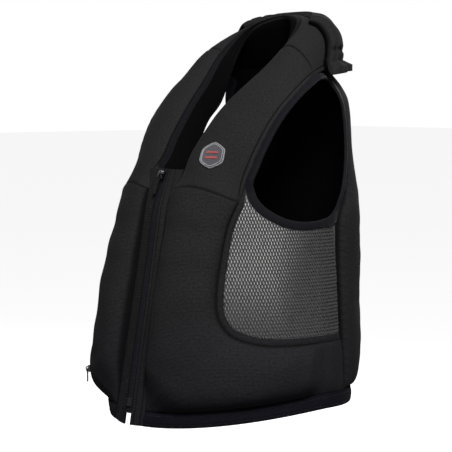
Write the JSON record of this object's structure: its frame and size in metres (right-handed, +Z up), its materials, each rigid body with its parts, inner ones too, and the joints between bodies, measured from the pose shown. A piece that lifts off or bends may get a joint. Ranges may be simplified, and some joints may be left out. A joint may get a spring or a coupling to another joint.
{
  "type": "airbag vest",
  "caption": "Zip-front padded airbag vest in its worn, inflated form, with a rolled collar, net side panels and bound armholes.",
  "frame": {"origin": "middle of the neck opening, level with where the vest rests on the shoulders", "axes": "+Z up, -Y towards the front with the zip, +X towards the wearer's left"},
  "size_m": [0.3682, 0.3425, 0.5249],
  "materials": {
    "cloth": "matt knitted softshell",
    "binding": "woven tape",
    "net": "open spacer net",
    "zip_tape": "woven zip tape",
    "coil": "moulded coil",
    "slider": "lacquered zinc",
    "pull": "moulded",
    "box": "moulded",
    "patch": "embroidered patch"
  },
  "bodies": {
    "vest": {"front_panel_left": "cloth", "front_panel_right": "cloth", "collar_left": "cloth", "collar_right": "cloth", "collar_back": "cloth", "nape_cover": "cloth", "chest_patch": "patch", "back_panel": "cloth", "side_trim_left": "binding", "side_trim_right": "binding", "side_mesh_left": "net", "side_mesh_right": "net", "armhole_binding_left": "binding", "armhole_binding_right": "binding", "hem_band": "cloth", "zip_tape_left": "zip_tape", "zip_tape_right": "zip_tape", "zip_placket_left": "cloth", "zip_guard_right": "cloth", "zip_coil": "coil", "zip_slider": "slider", "zip_box": "box", "pocket_zip_tape": "zip_tape", "pocket_slider": "slider"},
    "front_pull": {"zip_pull": "pull"},
    "pocket_pull": {"pocket_pull": "pull"}
  },
  "joints": [
    {"name": "zip_pull_swing", "type": "hinge", "parent": "vest", "child": "front_pull", "pos_m": [0, -0.13336, -0.10897], "axis": [-1, 0, 0], "range_deg": [0, 170]},
    {"name": "pocket_pull_swing", "type": "hinge", "parent": "vest", "child": "pocket_pull", "pos_m": [-0.13085, -0.15671, -0.37501], "axis": [-0.7343, 0.6788, 0], "range_deg": [-8, 150]}
  ]
}
